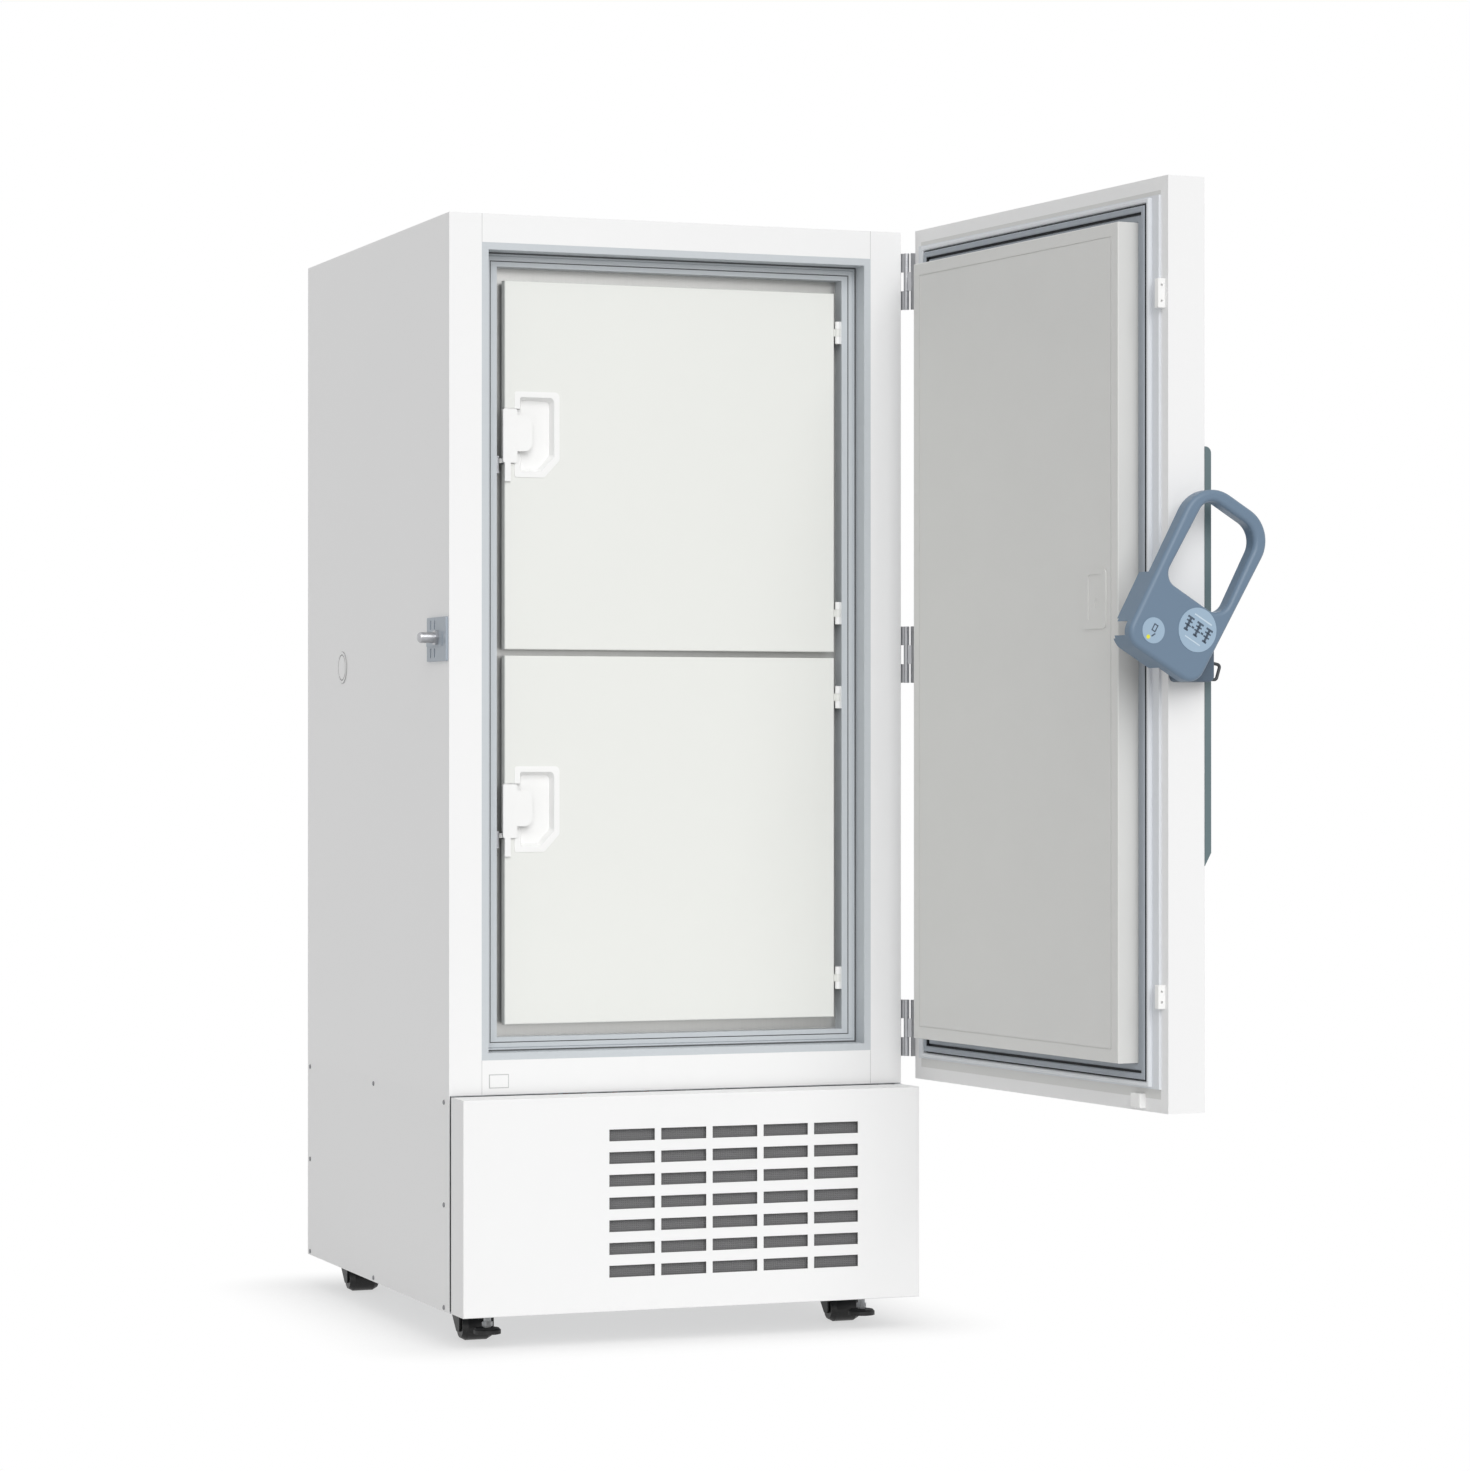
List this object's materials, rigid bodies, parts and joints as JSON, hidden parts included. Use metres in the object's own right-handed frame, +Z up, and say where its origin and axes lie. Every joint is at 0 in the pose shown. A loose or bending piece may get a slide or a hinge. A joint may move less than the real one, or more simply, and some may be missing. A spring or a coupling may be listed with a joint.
{
  "type": "ultra low temperature freezer",
  "caption": "Upright laboratory freezer on casters with an open insulated main door, turning lock handle, two inner doors and a grilled machine base.",
  "frame": {"origin": "on the floor, under the middle of the cabinet's front face", "axes": "+X to the right seen from the front, +Y to the back, +Z up"},
  "size_m": [1.0649, 1.7263, 1.822],
  "materials": {
    "white_paint": "smooth white powder coat, satin",
    "shaded_base": "smooth white powder coat, satin",
    "galvanised": "galvanised sheet",
    "foam": "rigid polyurethane foam",
    "throat_plastic": "pale blue grey extruded plastic",
    "inner_white": "warm white coated sheet",
    "latch_white": "moulded white plastic",
    "stainless": "brushed stainless sheet",
    "gasket_grey": "soft grey silicone",
    "door_grey": "pale grey moulded liner, fine texture",
    "handle_blue": "blue grey moulded plastic, satin",
    "display_dark": "dark blue grey plastic with glossy screen",
    "steel": "bright zinc plated steel",
    "dark_steel": "black coated steel",
    "filter_grey": "grey filter mesh",
    "aluminium_fins": "plain aluminium",
    "compressor_black": "black enamel",
    "copper": "copper tube",
    "control_grey": "grey coated sheet",
    "black_plastic": "black moulded plastic",
    "wheel_black": "black nylon and rubber tread"
  },
  "bodies": {
    "cabinet": {"side_panel_left": "white_paint", "side_panel_right": "white_paint", "top_panel": "white_paint", "back_panel": "galvanised", "front_rails": "white_paint", "cabinet_insulation": "foam", "throat_frame": "throat_plastic", "inner_liner": "stainless", "shelves": "stainless", "latch_strikers": "steel", "inner_hinge_leaves": "latch_white", "cabinet_hinge_leaves": "steel", "lock_pin_bracket": "steel", "lock_pin": "steel", "access_port": "white_paint", "base_chassis": "galvanised", "lower_side_panels": "shaded_base", "panel_screws": "steel", "rear_cover": "galvanised", "first_stage_compressor": "compressor_black", "second_stage_compressor": "compressor_black", "condenser": "aluminium_fins", "fan_shroud": "galvanised", "heat_exchanger": "black_plastic", "control_box": "control_grey", "refrigerant_pipes": "copper", "power_inlet": "black_plastic"},
    "main_door": {"main_door_shell": "white_paint", "main_door_foam": "foam", "main_door_liner": "door_grey", "main_door_gasket": "gasket_grey", "display_panel": "display_dark", "door_bumpers": "latch_white", "pressure_port": "door_grey", "door_hinge_leaves": "steel", "handle_base": "handle_blue", "padlock_loop": "dark_steel"},
    "handle": {"handle_lever": "handle_blue", "latch_cam": "steel"},
    "inner_door_upper": {"inner_door_upper": "inner_white", "inner_gasket_upper": "gasket_grey", "latch_plate_upper": "latch_white"},
    "inner_door_lower": {"inner_door_lower": "inner_white", "inner_gasket_lower": "gasket_grey", "latch_plate_lower": "latch_white"},
    "latch_upper": {"latch_lever_upper": "latch_white"},
    "latch_lower": {"latch_lever_lower": "latch_white"},
    "service_panel": {"service_panel": "white_paint", "condenser_filter": "filter_grey"},
    "condenser_fan": {"condenser_fan": "black_plastic"},
    "levelling_foot_left": {"levelling_foot_left": "black_plastic"},
    "levelling_foot_right": {"levelling_foot_right": "black_plastic"},
    "caster_fork_front_left": {"caster_fork_front_left": "dark_steel"},
    "caster_wheel_front_left": {"caster_wheel_front_left": "wheel_black"},
    "caster_fork_front_right": {"caster_fork_front_right": "dark_steel"},
    "caster_wheel_front_right": {"caster_wheel_front_right": "wheel_black"},
    "caster_fork_back_left": {"caster_fork_back_left": "dark_steel"},
    "caster_wheel_back_left": {"caster_wheel_back_left": "wheel_black"},
    "caster_fork_back_right": {"caster_fork_back_right": "dark_steel"},
    "caster_wheel_back_right": {"caster_wheel_back_right": "wheel_black"}
  },
  "joints": [
    {"name": "main_door_swing", "type": "hinge", "parent": "cabinet", "child": "main_door", "pos_m": [0.4023, -0.0014, 1.115], "axis": [0, 0, 1], "range_deg": [-95.68, 20]},
    {"name": "handle_turn", "type": "hinge", "parent": "main_door", "child": "handle", "pos_m": [0.51089, -0.83454, 1.137], "axis": [-0.099, 0.9951, 0], "range_deg": [-30, 0]},
    {"name": "inner_door_upper_swing", "type": "hinge", "parent": "cabinet", "child": "inner_door_upper", "pos_m": [0.29435, 0.038, 1.41938], "axis": [0, 0, 1], "range_deg": [0, 95]},
    {"name": "latch_upper_turn", "type": "hinge", "parent": "inner_door_upper", "child": "latch_upper", "pos_m": [-0.286, 0.041, 1.46625], "axis": [0, 0, -1], "range_deg": [-10, 25]},
    {"name": "inner_door_lower_swing", "type": "hinge", "parent": "cabinet", "child": "inner_door_lower", "pos_m": [0.29435, 0.038, 0.81212], "axis": [0, 0, 1], "range_deg": [0, 95]},
    {"name": "latch_lower_turn", "type": "hinge", "parent": "inner_door_lower", "child": "latch_lower", "pos_m": [-0.286, 0.041, 0.859], "axis": [0, 0, -1], "range_deg": [-10, 25]},
    {"name": "service_panel_swing", "type": "hinge", "parent": "cabinet", "child": "service_panel", "pos_m": [0.386, -0.014, 0.23], "axis": [0, 0, 1], "range_deg": [0, 100]},
    {"name": "fan_spin", "type": "hinge", "parent": "cabinet", "child": "condenser_fan", "pos_m": [0.07, 0.112, 0.195], "axis": [0, 1, 0], "continuous": true},
    {"name": "caster_swivel_front_left", "type": "hinge", "parent": "cabinet", "child": "caster_fork_front_left", "pos_m": [-0.322, 0.105, 0.05], "axis": [0, 0, 1], "continuous": true},
    {"name": "wheel_spin_front_left", "type": "hinge", "parent": "caster_fork_front_left", "child": "caster_wheel_front_left", "pos_m": [-0.322, 0.087, 0.022], "axis": [1, 0, 0], "continuous": true},
    {"name": "caster_swivel_front_right", "type": "hinge", "parent": "cabinet", "child": "caster_fork_front_right", "pos_m": [0.322, 0.105, 0.05], "axis": [0, 0, 1], "continuous": true},
    {"name": "wheel_spin_front_right", "type": "hinge", "parent": "caster_fork_front_right", "child": "caster_wheel_front_right", "pos_m": [0.322, 0.087, 0.022], "axis": [1, 0, 0], "continuous": true},
    {"name": "caster_swivel_back_left", "type": "hinge", "parent": "cabinet", "child": "caster_fork_back_left", "pos_m": [-0.322, 0.778, 0.05], "axis": [0, 0, 1], "continuous": true},
    {"name": "wheel_spin_back_left", "type": "hinge", "parent": "caster_fork_back_left", "child": "caster_wheel_back_left", "pos_m": [-0.322, 0.76, 0.022], "axis": [1, 0, 0], "continuous": true},
    {"name": "caster_swivel_back_right", "type": "hinge", "parent": "cabinet", "child": "caster_fork_back_right", "pos_m": [0.322, 0.778, 0.05], "axis": [0, 0, 1], "continuous": true},
    {"name": "wheel_spin_back_right", "type": "hinge", "parent": "caster_fork_back_right", "child": "caster_wheel_back_right", "pos_m": [0.322, 0.76, 0.022], "axis": [1, 0, 0], "continuous": true},
    {"name": "foot_screw_left", "type": "slide", "parent": "cabinet", "child": "levelling_foot_left", "axis": [0, 0, 1], "range_m": [-0.0195, 0.01]},
    {"name": "foot_screw_right", "type": "slide", "parent": "cabinet", "child": "levelling_foot_right", "axis": [0, 0, 1], "range_m": [-0.0195, 0.01]}
  ]
}
